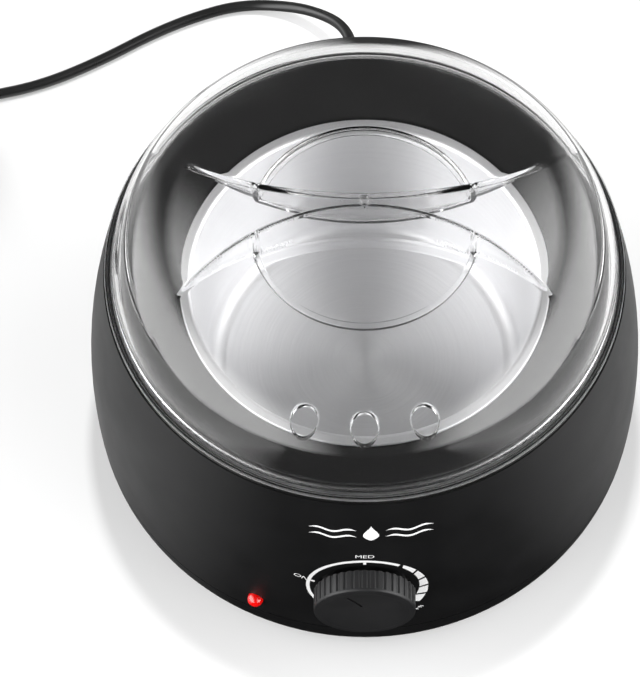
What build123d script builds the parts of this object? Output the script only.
from build123d import *
import os
from math import atan2, cos, degrees, pi, radians, sin, sqrt

# Salon wax warmer: a round electric heater with a lift-out aluminium wax pot under a clear lid.
# Millimetres, +Z up. The dial faces -Y and the cord leaves at the back, +Y.
# Everything is drawn with Z on the axis of the round body. save() then moves it towards +Y,
# so that the origin is on the table under the middle of the outline, knob included.

os.makedirs("parts", exist_ok=True)

# ---- driving dimensions ----
BODY_R = 90.0  # widest radius of the outer casing
BODY_WIDEST_Z = 36.0
BODY_CURVE_R = 277.8  # radius of the casing's upright curve
CASING_WALL = 2.4
SEAM_Z = 18.0  # joint between the upper housing and the bottom cover
HOUSING_TOP_Z = 97.2
RIM_TOP_Z = 98.4  # the collar lip that the lid rests on
COVER_FOOT_R = 85.2
COVER_FLOOR_Z = 2.0
COVER_FLOOR_T = 2.2

COLLAR_LIP_R = 82.9
COLLAR_STEP_R = 79.4
COLLAR_STEP_Z = 96.9
COLLAR_CREASE_R = 70.0
COLLAR_CREASE_Z = 93.3
COLLAR_INNER_R = 57.4
COLLAR_LEDGE_R = 60.3
COLLAR_LEDGE_Z = 89.2

POT_RIM_R = 59.3
POT_RIM_TOP_Z = 90.5
POT_MOUTH_R = 55.4
POT_BASE_R = 51.7
POT_FLOOR_Z = 34.6
POT_WALL = 1.2
POT_CORNER_R = 6.0

WELL_R = 57.3
WELL_WALL = 1.0
WELL_FLOOR_Z = 32.2
WELL_FLANGE_TOP_Z = 86.2
WELL_FLANGE_R = 69.4

LID_FLANGE_R = 82.75
LID_FLANGE_Z = 98.5
LID_FLANGE_T = 1.5
LID_WALL_R = 80.3
LID_CORNER_R = 25.0
LID_CORNER_Z = 101.0
LID_CROWN_DEG = 2.1  # slope where the corner meets the shallow crown
LID_WALL = 2.0
GRIP_TOP_Z = 141.9
GRIP_CAP_R = 120.0
GRIP_HALF_WIDTH = 2.67  # at the middle of the grip bar
GRIP_SIDE_R = 88.4  # plan radius of the bar's hollow sides
GRIP_REACH = 62.0
GRIP_WALL = 1.5
DIMPLE_R = 34.5
DIMPLE_Z = 123.4
VENT_R = 4.15
VENT_CIRCLE_R = 68.5
VENT_STEP_DEG = 15.6

KNOB_Z = 49.0
KNOB_R = 16.2
KNOB_FACE_Y = -97.5
KNOB_BACK_Y = -90.3
POINTER_DEG = 30.0  # the pointer rests this far to the left of straight up
SHAFT_R = 3.0
SHAFT_GAP = 0.05

LAMP_X = -35.2
LAMP_Z = 27.5
LAMP_R = 2.6

LAMP_DEG = degrees(atan2(-82.8, LAMP_X))
LENS_DOME_R0 = 90.3  # the dome's centre stands this far from the body's axis
FLUTES = 40

COVER_SCREW_R = 79.5
COLLAR_SCREW_R = 76.0
COLLAR_SCREW_DEG = (-30.0, 90.0, 210.0)
WELL_SCREW_R = 65.8
WELL_SCREW_DEG = (30.0, 150.0, 270.0)
SHIELD_SCREW_R = 56.0
FOOT_CIRCLE_R = 70.0

HEATER_R = 60.3  # outside of the band heater
GAP_DEG = 60.0  # where the band heater and the insulation are open
INSULATION_R = 67.4
SHIELD_Z = 27.0
FUSE_DEG = 170.0
TERMINAL_DEG = 100.0
TERMINAL_R = 74.0
TERMINAL_Z = COVER_FLOOR_Z + COVER_FLOOR_T
LEAD_R = 1.1

CORD_R = 1.9
CORD_Z = 24.0
CORD_DEG = 92.0
RELIEF_FLANGE_R = 89.85
RELIEF_TIP_R = 122.0
COIL_X = -165.0
COIL_Y = 87.0
COIL_INNER_R = 13.9
COIL_OUTER_R = 30.1
COIL_LOW = 0.7
COIL_HEIGHT = 7.8
TAIL_X = -193.0
TAIL_Z = 6.4
PLUG_FACE_Y = 35.0
PLUG_BACK_Y = 61.0

ORIGIN_SHIFT_Y = -(BODY_R + KNOB_FACE_Y) / 2

UP = (Align.CENTER, Align.CENTER, Align.MIN)


# ---- small helpers ----
def save(name, *solids):
    """Write one sub-part, which may be a group of separate solids, in the final frame."""
    moved = [Pos(0, ORIGIN_SHIFT_Y, 0) * solid for solid in solids]
    shape = moved[0] if len(moved) == 1 else Compound(children=moved)
    export_step(shape, f"parts/{name}.step")


def turned(*curves):
    """Turn a closed outline, drawn as (radius, height) curves, round the vertical axis."""
    return revolve(Plane.XZ * make_face(Curve() + list(curves)), Axis.Z)


def turned_points(*points):
    return turned(Polyline(*points, close=True))


def post(radius, low, high):
    return Pos(0, 0, low) * Cylinder(radius, high - low, align=UP)


def tube(outer, inner, low, high):
    return post(outer, low, high) - post(inner, low - 1, high + 1)


def at(angle, radius, solid):
    """Carry a solid made at the origin out to a radius, at an angle from +X."""
    return Rot(0, 0, angle) * Pos(radius, 0, 0) * solid


def spread(count, start, radius, solid):
    """Equal copies round the axis."""
    return [at(start + 360 * i / count, radius, solid) for i in range(count)]


def joined(base, parts):
    for part in parts:
        base = base + part
    return base


def cut(base, parts):
    for part in parts:
        base = base - part
    return base


def rod_y(radius, y0, y1, x=0.0, z=KNOB_Z):
    """A cylinder along +Y from y0 to y1."""
    return Pos(x, y0, z) * Rot(-90, 0, 0) * Cylinder(radius, y1 - y0, align=UP)


def rod_out(angle, z, radius, r0, r1):
    """A cylinder along a radius of the body, from r0 to r1."""
    return Rot(0, 0, angle) * Pos(r0, 0, z) * Rot(0, 90, 0) * Cylinder(radius, r1 - r0, align=UP)


def casing_r(z, inset=0.0):
    """Radius of the casing's upright curve at a height."""
    curve = BODY_CURVE_R - inset
    return BODY_R - BODY_CURVE_R + sqrt(curve**2 - (z - BODY_WIDEST_Z) ** 2)


def pan_screw(shank_r, head_r, head_t, length):
    """Screw pointing up from its head's bearing face at z = 0, with a cross recess below."""
    head = Pos(0, 0, -head_t) * Cylinder(head_r, head_t, align=UP)
    shank = Cylinder(shank_r, length, align=UP)
    slot = Box(head_r * 1.1, 0.7, 0.8)
    cross = Pos(0, 0, -head_t) * (slot + Rot(0, 0, 90) * slot)
    return head + shank - cross


def wire(points, radius, bend=5.0):
    """A round lead along straight runs joined by arcs."""
    path = FilletPolyline(*points, radius=bend)
    section = Plane(origin=path @ 0, z_dir=path % 0) * Circle(radius)
    return sweep(section, path)


# ---- casing ----
def upper_housing():
    mid_z = (SEAM_Z + HOUSING_TOP_Z) / 2
    outer = [(casing_r(z), z) for z in (SEAM_Z, mid_z, HOUSING_TOP_Z)]
    inner = [(casing_r(z, CASING_WALL), z) for z in (SEAM_Z, mid_z, HOUSING_TOP_Z)]
    shell = turned(
        ThreePointArc(*outer),
        Line(outer[2], inner[2]),
        ThreePointArc(*inner),
        Line(inner[0], outer[0]),
    )
    # flat pad behind the knob, with a shallow pocket for the screw heads
    shell = shell + rod_y(15.8, -88.0, -85.2)
    shell = shell - rod_y(15.0, -95.0, -88.2)
    for x, hole_r in ((0.0, 4.5), (-11.0, 1.65), (11.0, 1.65)):
        shell = shell - rod_y(hole_r, -95.0, -80.0, x=x)
    # lamp hole and cord outlet
    shell = shell - rod_out(LAMP_DEG, LAMP_Z, LAMP_R + 0.05, 80.0, 95.0)
    shell = shell - rod_out(CORD_DEG, CORD_Z, 4.6, 80.0, 95.0)
    # tubes for the cover screws, each on a rib, and shelves for the collar screws
    rib = Pos(6.0, 0, SEAM_Z) * Box(6.0, 2.4, 26.0, align=UP)
    screw_tube = post(3.8, SEAM_Z, 44.0) + rib - post(1.25, SEAM_Z - 1, 40.0)
    shell = joined(shell, spread(4, 30.0, COVER_SCREW_R, screw_tube))
    shelf = Pos(1.9, 0, 81.0) * Box(13.8, 9.0, 2.4, align=UP) - post(1.7, 80.0, 85.0)
    return joined(shell, [at(a, COLLAR_SCREW_R, shelf) for a in COLLAR_SCREW_DEG])


def collar_ring():
    """Glossy dished collar between the casing and the pot."""
    top = [(COLLAR_LIP_R, RIM_TOP_Z), (COLLAR_STEP_R, RIM_TOP_Z), (COLLAR_STEP_R, COLLAR_STEP_Z)]
    hollow = ThreePointArc(top[2], (74.6, 94.7), (COLLAR_CREASE_R, COLLAR_CREASE_Z))
    ring = turned(
        Polyline(*top),
        hollow,
        Polyline(
            (COLLAR_CREASE_R, COLLAR_CREASE_Z),
            (COLLAR_LEDGE_R, 90.2),
            (COLLAR_LEDGE_R, COLLAR_LEDGE_Z),
            (COLLAR_INNER_R, COLLAR_LEDGE_Z),
            (COLLAR_INNER_R, COLLAR_LEDGE_Z - 2.0),
            (COLLAR_LEDGE_R + 0.5, COLLAR_LEDGE_Z - 2.0),
            (71.0, 91.0),
            (78.4, 94.0),
            (80.3, HOUSING_TOP_Z),
            (COLLAR_LIP_R, HOUSING_TOP_Z),
            top[0],
        ),
    )
    ring = joined(ring, [at(a, WELL_SCREW_R, post(3.2, WELL_FLANGE_TOP_Z, 90.4)) for a in WELL_SCREW_DEG])
    ring = joined(ring, [at(a, COLLAR_SCREW_R, post(3.2, 83.4, 93.8)) for a in COLLAR_SCREW_DEG])
    ring = cut(ring, [at(a, WELL_SCREW_R, post(1.2, 80.0, 89.6)) for a in WELL_SCREW_DEG])
    return cut(ring, [at(a, COLLAR_SCREW_R, post(1.3, 80.0, 91.5)) for a in COLLAR_SCREW_DEG])


def bottom_cover():
    foot = (COVER_FOOT_R, COVER_FLOOR_Z)
    rim_r = casing_r(SEAM_Z) - 0.1
    lean = atan2(SEAM_Z - COVER_FLOOR_Z, rim_r - COVER_FOOT_R)
    mid = (
        (rim_r + COVER_FOOT_R) / 2 + 1.0 * sin(lean),
        (SEAM_Z + COVER_FLOOR_Z) / 2 - 1.0 * cos(lean),
    )
    floor_top = COVER_FLOOR_Z + COVER_FLOOR_T
    tray = turned(
        Line((0, COVER_FLOOR_Z), foot),
        ThreePointArc(foot, mid, (rim_r, SEAM_Z - 0.7)),
        Polyline(
            (rim_r, SEAM_Z - 0.7),
            (rim_r - 0.7, SEAM_Z - 0.7),
            (rim_r - 0.7, SEAM_Z),
            (86.6, SEAM_Z),
            (86.6, SEAM_Z + 3.0),
            (85.2, SEAM_Z + 3.0),
            (85.2, 12.0),
            (82.6, floor_top + 0.6),
            (82.0, floor_top),
            (0, floor_top),
            (0, COVER_FLOOR_Z),
        ),
    )
    screw_tube = post(4.2, COVER_FLOOR_Z, SEAM_Z)
    notch = Pos(2.4, 0, SEAM_Z) * Box(14.0, 8.4, 4.0, align=UP)
    tray = joined(tray, spread(4, 30.0, COVER_SCREW_R, screw_tube))
    shield_post = post(3.5, floor_top - 0.5, SHIELD_Z) - post(1.3, 14.0, SHIELD_Z + 1)
    tray = joined(tray, spread(3, 90.0, SHIELD_SCREW_R, shield_post))
    tray = cut(tray, spread(4, 30.0, COVER_SCREW_R, post(1.7, 0.0, SEAM_Z + 4.0)))
    tray = cut(tray, spread(4, 30.0, COVER_SCREW_R, post(3.0, 0.0, 7.0)))
    tray = cut(tray, spread(4, 30.0, COVER_SCREW_R, notch))
    tray = tray - rod_out(CORD_DEG, CORD_Z, 5.8, 80.0, 88.0)
    tray = cut(tray, spread(4, 45.0, FOOT_CIRCLE_R, post(3.0, 0.0, 6.0)))
    slot = Pos(0, 0, 3.0) * Box(22.0, 3.0, 6.0)
    return cut(tray, spread(12, 15.0, 34.0, slot))


def foot():
    pad = Cylinder(6.5, COVER_FLOOR_Z, align=UP)
    pad = chamfer(pad.faces().sort_by(Axis.Z)[0].edges(), 0.5)
    return pad + post(2.95, COVER_FLOOR_Z - 0.1, COVER_FLOOR_Z + 3.6)


# ---- heating ----
def heater_well():
    outer = WELL_R + WELL_WALL
    low = WELL_FLOOR_Z - WELL_WALL
    well = turned_points(
        (0, low),
        (outer - 2.0, low),
        (outer, low + 2.0),
        (outer, WELL_FLANGE_TOP_Z - WELL_WALL),
        (WELL_FLANGE_R, WELL_FLANGE_TOP_Z - WELL_WALL),
        (WELL_FLANGE_R, WELL_FLANGE_TOP_Z),
        (WELL_R, WELL_FLANGE_TOP_Z),
        (WELL_R, WELL_FLOOR_Z + 1.6),
        (WELL_R - 1.6, WELL_FLOOR_Z),
        (0, WELL_FLOOR_Z),
    )
    return cut(well, [at(a, WELL_SCREW_R, post(1.4, 80.0, 90.0)) for a in WELL_SCREW_DEG])


def sector(angle, width_deg, low, high, reach=110.0):
    """A wedge from the axis, used to open a ring."""
    half = radians(width_deg / 2)
    corner = (reach * cos(half), reach * sin(half))
    face = make_face(Polyline((0, 0), corner, (corner[0], -corner[1]), close=True))
    return Rot(0, 0, angle) * Pos(0, 0, low) * extrude(face, high - low)


def band_heater():
    band = tube(HEATER_R, WELL_R + WELL_WALL + 0.1, 42.0, 70.0)
    return band - sector(GAP_DEG, 10.0, 40.0, 75.0)


def band_clamp():
    """Steel strap round the band heater, with two ears for its screw."""
    strap = tube(HEATER_R + 0.8, HEATER_R + 0.1, 50.0, 62.0) - sector(GAP_DEG, 8.0, 45.0, 65.0)
    ear = Pos(HEATER_R + 0.4, 4.2, 50.0) * Box(8.0, 0.9, 12.0, align=(Align.MIN, Align.MIN, Align.MIN))
    ear = ear - Pos(HEATER_R + 5.2, 0, 56.0) * Rot(-90, 0, 0) * Cylinder(1.6, 9.0, align=UP)
    ears = ear + mirror(ear, Plane.XZ)
    return strap + Rot(0, 0, GAP_DEG) * ears


def clamp_screw():
    screw = pan_screw(1.5, 2.7, 1.8, 13.0)
    return Rot(0, 0, GAP_DEG) * Pos(HEATER_R + 5.2, -5.1, 56.0) * Rot(-90, 0, 0) * screw


def insulation_sleeve():
    sleeve = tube(INSULATION_R, HEATER_R + 1.6, SHIELD_Z + 0.8, 72.0)
    return sleeve - sector(GAP_DEG, 22.0, 20.0, 80.0)


def heat_shield():
    """Dished steel tray under the well, which also holds the insulation."""
    rim_in = INSULATION_R + 0.1
    dish = turned_points(
        (0, SHIELD_Z),
        (rim_in + 0.8, SHIELD_Z),
        (rim_in + 0.8, 42.0),
        (rim_in, 42.0),
        (rim_in, SHIELD_Z + 0.8),
        (0, SHIELD_Z + 0.8),
    )
    dish = cut(dish, spread(3, 90.0, SHIELD_SCREW_R, post(1.6, 20.0, 30.0)))
    return dish - sector(GAP_DEG, 16.0, SHIELD_Z + 2.0, 50.0)


# ---- wax pot and lid ----
def wax_pot():
    corner = POT_CORNER_R
    floor = POT_FLOOR_Z
    under = floor - POT_WALL
    swing = cos(radians(45))
    inner_mid = (POT_BASE_R - corner * (1 - swing), floor + corner * (1 - swing))
    outer_r = corner + POT_WALL
    base = POT_BASE_R + POT_WALL
    outer_mid = (base - outer_r * (1 - swing), under + outer_r * (1 - swing))
    ledge = POT_RIM_TOP_Z - POT_WALL
    return turned(
        Line((0, under), (base - outer_r, under)),
        ThreePointArc((base - outer_r, under), outer_mid, (base, under + outer_r)),
        Polyline((base, under + outer_r), (POT_MOUTH_R + POT_WALL, ledge), (POT_RIM_R - 0.3, ledge)),
        ThreePointArc(
            (POT_RIM_R - 0.3, ledge),
            (POT_RIM_R, ledge + POT_WALL / 2),
            (POT_RIM_R - 0.4, POT_RIM_TOP_Z),
        ),
        Line((POT_RIM_R - 0.4, POT_RIM_TOP_Z), (POT_MOUTH_R + 1.5, POT_RIM_TOP_Z)),
        ThreePointArc(
            (POT_MOUTH_R + 1.5, POT_RIM_TOP_Z),
            (POT_MOUTH_R + 0.45, POT_RIM_TOP_Z - 0.45),
            (POT_MOUTH_R, POT_RIM_TOP_Z - 1.5),
        ),
        Line((POT_MOUTH_R, POT_RIM_TOP_Z - 1.5), (POT_BASE_R, floor + corner)),
        ThreePointArc((POT_BASE_R, floor + corner), inner_mid, (POT_BASE_R - corner, floor)),
        Polyline((POT_BASE_R - corner, floor), (0, floor), (0, under)),
    )


def dome(inset, base_z):
    """Filled shape of the lid's low dome, pulled in by a wall thickness."""
    slope = radians(LID_CROWN_DEG)
    centre_r = LID_WALL_R - LID_CORNER_R
    rho = LID_CORNER_R - inset
    knee = (centre_r + rho * sin(slope), LID_CORNER_Z + rho * cos(slope))
    mid_angle = (slope + pi / 2) / 2
    mid = (centre_r + rho * sin(mid_angle), LID_CORNER_Z + rho * cos(mid_angle))
    side = (centre_r + rho, LID_CORNER_Z)
    crown_r = knee[0] / sin(slope)
    rise = crown_r * (1 - cos(slope))
    quarter = (knee[0] / 2, knee[1] + rise * 0.75)
    return turned(
        ThreePointArc((0, knee[1] + rise), quarter, knee),
        ThreePointArc(knee, mid, side),
        Polyline(side, (side[0], base_z), (0, base_z), (0, knee[1] + rise)),
    )


def grip_bar(inset):
    """Filled shape of the raised bar: hollow-sided in plan, under a shallow spherical cap."""
    reach = GRIP_REACH - inset
    half = GRIP_HALF_WIDTH - inset
    flare = half + GRIP_SIDE_R - sqrt(GRIP_SIDE_R**2 - reach**2)
    front = ThreePointArc((-reach, -flare), (0, -half), (reach, -flare))
    back = ThreePointArc((reach, flare), (0, half), (-reach, flare))
    ends = [Line((reach, -flare), (reach, flare)), Line((-reach, flare), (-reach, -flare))]
    plan = make_face(Curve() + [front, ends[0], back, ends[1]])
    cap_r = GRIP_CAP_R - inset
    cap = Pos(0, 0, GRIP_TOP_Z - GRIP_CAP_R) * Sphere(cap_r)
    return Pos(0, 0, 106.0) * extrude(plan, 40.0) & cap


def lid():
    outer = dome(0.0, LID_FLANGE_Z) - post(DIMPLE_R, DIMPLE_Z, 150.0) + grip_bar(0.0)
    flange = post(LID_FLANGE_R, LID_FLANGE_Z, LID_FLANGE_Z + LID_FLANGE_T)
    rib = post(79.1, LID_FLANGE_Z - 1.1, LID_FLANGE_Z)
    inner = dome(LID_WALL, 95.0)
    inner = inner - post(DIMPLE_R + LID_WALL, DIMPLE_Z - LID_WALL, 150.0) + grip_bar(GRIP_WALL)
    shell = outer + flange + rib - inner
    vents = [at(-90 + i * VENT_STEP_DEG, VENT_CIRCLE_R, post(VENT_R, 90.0, 150.0)) for i in (-1, 0, 1)]
    gate = post(2.2, GRIP_TOP_Z - 0.8, GRIP_TOP_Z + 0.25) - post(1.5, GRIP_TOP_Z + 0.05, GRIP_TOP_Z + 1)
    return cut(shell, vents) + gate


# ---- control ----
def knob():
    """Fluted knob with a dished face and a cut pointer line."""
    body = rod_y(KNOB_R, KNOB_FACE_Y, KNOB_BACK_Y)
    body = fillet(body.edges().filter_by(GeomType.CIRCLE).sort_by(Axis.Y)[0], 0.7)
    dish_r = 88.0
    body = body - Pos(0, KNOB_FACE_Y + 1.1 - dish_r, KNOB_Z) * Sphere(dish_r)
    flutes = []
    for i in range(FLUTES):
        a = 2 * pi * (i + 0.5) / FLUTES
        x = KNOB_R * sin(a) * 1.022
        z = KNOB_Z + KNOB_R * cos(a) * 1.022
        flutes.append(rod_y(0.8, KNOB_FACE_Y + 1.0, KNOB_BACK_Y + 1.0, x=x, z=z))
    body = cut(body, flutes)
    body = body - (rod_y(KNOB_R - 2.0, KNOB_FACE_Y + 3.4, KNOB_BACK_Y + 1) - rod_y(5.6, -99.0, -85.0))
    body = body - rod_y(SHAFT_R + 0.02, KNOB_FACE_Y + 3.4, KNOB_BACK_Y + 1)
    groove = Pos(0, KNOB_FACE_Y + 1.0, 6.4) * Box(0.8, 1.9, 9.6)
    return body - Pos(0, 0, KNOB_Z) * Rot(0, -POINTER_DEG, 0) * groove


def thermostat_shaft():
    shaft = rod_y(SHAFT_R, KNOB_FACE_Y + 3.6, -80.2)
    return chamfer(shaft.edges().filter_by(GeomType.CIRCLE).sort_by(Axis.Y)[0], 0.4)


def thermostat_body():
    block = Pos(0, -77.5, KNOB_Z) * Box(24.0, 13.0, 20.0)
    block = fillet(block.edges().filter_by(Axis.Y), 1.5)
    bush = rod_y(4.3, -88.0, -83.5)
    tabs = [Pos(x, -69.8, KNOB_Z - 4.0) * Box(0.8, 2.8, 6.0) for x in (-7.0, 7.0)]
    body = joined(block + bush, tabs)
    return body - rod_y(SHAFT_R + SHAFT_GAP, -90.0, -80.0)


def thermostat_bracket():
    plate = Pos(0, -84.6, KNOB_Z) * Box(30.0, 1.2, 16.0)
    plate = fillet(plate.edges().filter_by(Axis.Y), 2.0)
    plate = plate - rod_y(4.4, -90.0, -80.0)
    return cut(plate, [rod_y(1.3, -90.0, -80.0, x=x) for x in (-11.0, 11.0)])


def thermostat_screw(x):
    return Pos(x, -88.2, KNOB_Z) * Rot(-90, 0, 0) * pan_screw(1.25, 2.4, 1.4, 4.1)


def indicator_lens():
    """Red lens with a domed nose and a collar inside the wall."""
    nose = Rot(0, 0, LAMP_DEG) * Pos(LENS_DOME_R0, 0, LAMP_Z) * Sphere(LAMP_R)
    stem = rod_out(LAMP_DEG, LAMP_Z, LAMP_R, 85.6, LENS_DOME_R0)
    collar = rod_out(LAMP_DEG, LAMP_Z, 3.6, 84.8, 87.2)
    return nose + stem + collar - rod_out(LAMP_DEG, LAMP_Z, 1.6, 80.0, LENS_DOME_R0 - 1.0)


def indicator_lamp():
    """Small neon lamp behind the lens."""
    glass = rod_out(LAMP_DEG, LAMP_Z, 1.5, 75.0, 86.5)
    tip = Rot(0, 0, LAMP_DEG) * Pos(86.5, 0, LAMP_Z) * Sphere(1.5)
    return glass + tip


def lamp_holder():
    sleeve = rod_out(LAMP_DEG, LAMP_Z, 3.4, 77.0, 84.8)
    return sleeve - rod_out(LAMP_DEG, LAMP_Z, 1.55, 70.0, 90.0)


# ---- wiring ----
def thermal_fuse():
    return at(FUSE_DEG, WELL_R + WELL_WALL + 2.8, post(2.0, 72.6, 83.0) + post(0.5, 71.0, 84.6))


def fuse_clip():
    ring = tube(2.6, 2.05, 75.6, 80.4)
    foot_plate = Pos(-2.75, 0, 75.6) * Box(0.4, 6.0, 4.8, align=(Align.MIN, Align.CENTER, Align.MIN))
    clip = (ring + foot_plate) - post(2.05, 70.0, 90.0)
    return at(FUSE_DEG, WELL_R + WELL_WALL + 2.8, clip)


def terminal_block():
    block = Pos(0, 0, TERMINAL_Z) * Box(13.0, 27.0, 12.0, align=UP)
    ways = [Pos(0, y, TERMINAL_Z + 5.0) * Rot(0, 90, 0) * Cylinder(1.5, 20.0) for y in (-8.5, 0.0, 8.5)]
    well = post(1.9, TERMINAL_Z + 6.5, TERMINAL_Z + 13.0)
    heads = [Pos(0, y, 0) * well for y in (-8.5, 0.0, 8.5)]
    return at(TERMINAL_DEG, TERMINAL_R, cut(cut(block, ways), heads))


def terminal_screws():
    screw = post(1.8, TERMINAL_Z + 6.9, TERMINAL_Z + 11.4) - Pos(0, 0, TERMINAL_Z + 11.2) * Box(4.0, 0.6, 1.0)
    return [at(TERMINAL_DEG, TERMINAL_R, Pos(0, y, 0) * screw) for y in (-8.5, 0.0, 8.5)]


def ring_point(angle, radius, z):
    return (radius * cos(radians(angle)), radius * sin(radians(angle)), z)


def terminal_way(y, x):
    """A point in one of the terminal block's ways, x along the way."""
    a = radians(TERMINAL_DEG)
    r = TERMINAL_R + x
    return (r * cos(a) - y * sin(a), r * sin(a) + y * cos(a), TERMINAL_Z + 5.0)


def supply_lead():
    """From the terminal block round the left side to the thermostat's left tab."""
    start = [terminal_way(8.5, -4.0), terminal_way(8.5, -12.0), ring_point(126, 67.0, 12.0)]
    round_side = [ring_point(a, 72.0, 14.0) for a in (152, 180, 208)]
    rise = [ring_point(232, 72.0, 17.0), (-18.0, -69.5, 33.0), (-9.5, -69.9, 38.0), (-7.0, -69.7, 41.4)]
    return wire(start + round_side + rise, LEAD_R, bend=2.2)


def heater_lead():
    """From the thermostat's right tab round the right side to the band heater."""
    start = [(7.0, -69.7, 41.4), (9.5, -69.9, 38.0), (20.0, -69.0, 30.0)]
    round_side = [ring_point(a, 72.0, 14.0) for a in (312, 336, 0, 24)]
    rise = [ring_point(44, 72.5, 22.0), ring_point(56, 74.5, 40.0), ring_point(56, 67.0, 46.0)]
    return wire(start + round_side + rise + [ring_point(54, 61.5, 46.0)], LEAD_R, bend=2.2)


def neutral_lead():
    """From the terminal block to the band heater's other end."""
    start = [terminal_way(0.0, -4.0), terminal_way(0.0, -12.0), ring_point(82, 66.5, 12.0)]
    rise = [ring_point(68, 72.5, 22.0), ring_point(64, 74.5, 40.0), ring_point(64, 67.0, 46.0)]
    return wire(start + rise + [ring_point(66, 61.5, 46.0)], LEAD_R, bend=2.2)


def mains_conductor(x, way_y):
    """One of the cord's conductors, from the strain relief down to the terminal block."""
    start = [(x, 83.8, CORD_Z), (x, 81.8, CORD_Z), (x - 2.0, 82.4, 15.0)]
    end = [terminal_way(way_y, 8.0), terminal_way(way_y, 3.0)]
    return wire(start + end, 0.9, bend=1.8)


# ---- mains cord ----
def strain_relief():
    """Moulded sleeve that grips the casing's wall and tapers along the cord."""
    inside = rod_out(CORD_DEG, CORD_Z, 5.2, 84.0, 86.9)
    through = rod_out(CORD_DEG, CORD_Z, 4.5, 84.0, RELIEF_FLANGE_R + 1.0)
    flange = rod_out(CORD_DEG, CORD_Z, 6.2, RELIEF_FLANGE_R, RELIEF_FLANGE_R + 2.0)
    length = RELIEF_TIP_R - RELIEF_FLANGE_R
    cone = Cone(4.4, 2.6, length, align=UP)
    for i in range(6):
        low = 4.4 + 4.2 * i
        core = 3.6 - 1.8 * low / length
        cone = cone - (post(6.0, low, low + 1.3) - post(core, low - 1, low + 3))
    sleeve = Rot(0, 0, CORD_DEG) * Pos(RELIEF_FLANGE_R, 0, CORD_Z) * Rot(0, 90, 0) * cone
    return inside + through + flange + sleeve


CORD_ROUTE = [
    ring_point(CORD_DEG, RELIEF_TIP_R, CORD_Z),
    (-4.3, 128.0, 23.6),
    (-5.4, 135.0, 21.0),
    (-8.6, 142.6, 17.0),
    (-14.4, 149.4, 12.0),
    (-22.0, 155.0, 7.5),
    (-30.5, 158.3, 4.2),
    (-40.0, 159.8, 2.4),
    (-52.0, 158.1, 2.0),
    (-72.0, 149.8, 2.0),
    (-94.0, 136.2, 2.0),
    (-114.0, 126.5, 2.0),
    (-134.0, 121.6, 2.2),
    (-150.0, 117.4, 2.6),
    (COIL_X, COIL_Y + 28.0, 2.6),
]


def corner_radii(points, name):
    """The largest arc that each corner's two runs allow, printed for checking."""
    radii = []
    for a, b, c in zip(points, points[1:], points[2:]):
        first = Vector(*b) - Vector(*a)
        second = Vector(*c) - Vector(*b)
        turn = first.normalized().dot(second.normalized())
        half = sqrt((1 - turn) / (1 + turn))
        radii.append(0.45 * min(first.length, second.length) / half)
        turned = 2 * degrees(atan2(half, 1))
        print(f"{name}: run {first.length:.1f} turn {turned:.1f} radius {radii[-1]:.1f}")
    return radii


def power_cord(coil):
    path = FilletPolyline(*CORD_ROUTE, radius=corner_radii(CORD_ROUTE, "cord"))
    section = Plane(origin=path @ 0, z_dir=path % 0) * Circle(CORD_R)
    cable = sweep(section, path)
    expected = pi * CORD_R**2 * path.length
    print(f"cord: length {path.length:.1f} volume {cable.volume:.0f} of {expected:.0f}")
    return cable - coil


def cord_coil():
    """Spare cord wound flat in two layers."""
    ring = tube(COIL_OUTER_R, COIL_INNER_R, COIL_LOW, COIL_LOW + COIL_HEIGHT)
    return Pos(COIL_X, COIL_Y, 0) * fillet(ring.edges().filter_by(GeomType.CIRCLE), 1.3)


def cord_tie():
    """Soft strap round the coil's turns."""
    band = Pos(21.55, 0, 0) * Box(18.7, 9.0, COIL_HEIGHT + 2 * COIL_LOW, align=UP)
    hole = Pos(21.55, 0, COIL_LOW) * Box(17.3, 12.0, COIL_HEIGHT, align=UP)
    return Pos(COIL_X, COIL_Y, 0) * Rot(0, 0, -35) * (band - hole)


def cord_tail(coil):
    return rod_y(CORD_R, PLUG_BACK_Y + 3.0, COIL_Y, x=TAIL_X, z=TAIL_Z) - coil


def blade(side):
    """One flat pin of a two-pin plug, with its tip hole and chamfered end."""
    x = TAIL_X + side * 6.35
    flat = Pos(x, PLUG_FACE_Y - 4.0, TAIL_Z) * Box(1.5, 24.0, 6.3)
    flat = chamfer(flat.faces().sort_by(Axis.Y)[0].edges(), 0.4)
    return flat - Pos(x, PLUG_FACE_Y - 12.0, TAIL_Z) * Rot(0, 90, 0) * Cylinder(1.6, 4.0)


def plug_body():
    """Two-pin plug lying on its side, with a tapered neck and finger grooves."""
    middle = (PLUG_BACK_Y + PLUG_FACE_Y) / 2
    body = Pos(TAIL_X, middle, TAIL_Z) * Box(20.0, PLUG_BACK_Y - PLUG_FACE_Y, 2 * TAIL_Z)
    body = fillet(body.edges().filter_by(Axis.Y), 4.5)
    body = chamfer(body.faces().sort_by(Axis.Y)[-1].edges(), 2.0)
    neck = Pos(TAIL_X, PLUG_BACK_Y - 3.5, TAIL_Z) * Rot(-90, 0, 0) * Cone(4.2, 2.6, 12.5, align=UP)
    body = body + neck
    for side in (-1, 1):
        groove = [Pos(TAIL_X + side * 10.4, PLUG_FACE_Y + y, TAIL_Z) for y in (9.0, 12.2, 15.4, 18.6)]
        body = cut(body, [place * Cylinder(0.9, 20.0) for place in groove])
        root = Pos(TAIL_X + side * 6.35, PLUG_FACE_Y, TAIL_Z) * Box(1.5, 16.0, 6.3)
        body = body - root
    return body - rod_y(CORD_R, PLUG_BACK_Y + 3.0, 80.0, x=TAIL_X, z=TAIL_Z)


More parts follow.
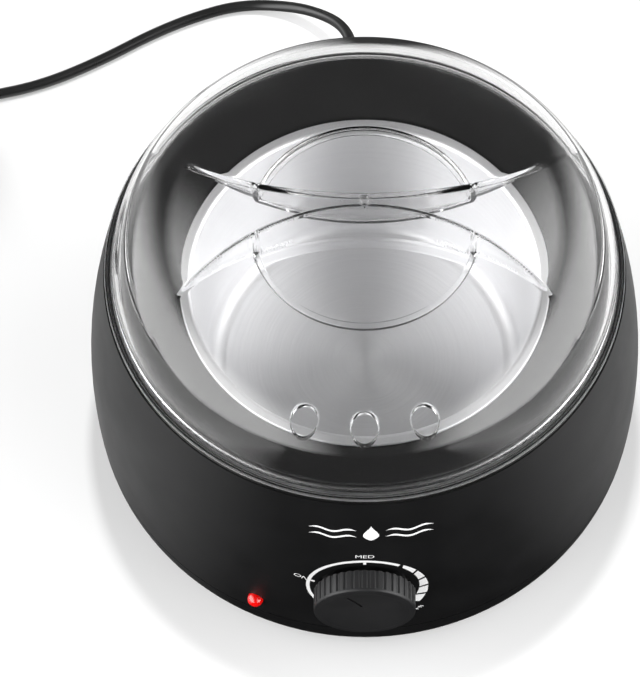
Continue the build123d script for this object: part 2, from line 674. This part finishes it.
# ---- write every sub-part ----
save("upper_housing", upper_housing())
save("collar_ring", collar_ring())
save("bottom_cover", bottom_cover())
for i, corner in enumerate(("back_right", "back_left", "front_left", "front_right")):
    save(f"foot_{corner}", at(45.0 + 90.0 * i, FOOT_CIRCLE_R, foot()))
cover_screw = Pos(0, 0, 7.0) * pan_screw(1.2, 2.7, 2.0, 26.0)
save("cover_screws", *spread(4, 30.0, COVER_SCREW_R, cover_screw))
collar_screw = Pos(0, 0, 81.0) * pan_screw(1.25, 2.8, 1.8, 8.0)
save("collar_screws", *[at(a, COLLAR_SCREW_R, collar_screw) for a in COLLAR_SCREW_DEG])

save("heater_well", heater_well())
well_screw = Pos(0, 0, WELL_FLANGE_TOP_Z - WELL_WALL) * pan_screw(1.15, 2.6, 1.6, 4.2)
save("well_screws", *[at(a, WELL_SCREW_R, well_screw) for a in WELL_SCREW_DEG])
save("well_gasket", tube(60.2, 58.6, WELL_FLANGE_TOP_Z, COLLAR_LEDGE_Z - 2.0))
save("band_heater", band_heater())
save("band_clamp", band_clamp())
save("clamp_screw", clamp_screw())
save("insulation_sleeve", insulation_sleeve())
save("heat_shield", heat_shield())
shield_screw = Pos(0, 0, SHIELD_Z + 0.8) * Rot(180, 0, 0) * pan_screw(1.25, 2.7, 1.6, 9.0)
save("shield_screws", *spread(3, 90.0, SHIELD_SCREW_R, shield_screw))
save("thermal_fuse", thermal_fuse())
save("fuse_clip", fuse_clip())

save("knob", knob())
save("thermostat_shaft", thermostat_shaft())
save("thermostat_body", thermostat_body())
save("thermostat_bracket", thermostat_bracket())
save("thermostat_screws", thermostat_screw(-11.0), thermostat_screw(11.0))
save("indicator_lens", indicator_lens())
save("indicator_lamp", indicator_lamp())
save("lamp_holder", lamp_holder())

save("terminal_block", terminal_block())
save("terminal_screws", *terminal_screws())
save("supply_lead", supply_lead())
save("heater_lead", heater_lead())
save("neutral_lead", neutral_lead())
save("mains_conductors", mains_conductor(-1.8, -8.5), mains_conductor(-4.6, 0.0))

coil = cord_coil()
save("strain_relief", strain_relief())
save("power_cord", power_cord(coil))
save("cord_coil", coil)
save("cord_tie", cord_tie())
save("cord_tail", cord_tail(coil))
save("plug_body", plug_body())
save("plug_blades", blade(-1), blade(1))

save("wax_pot", wax_pot())
save("lid", lid())
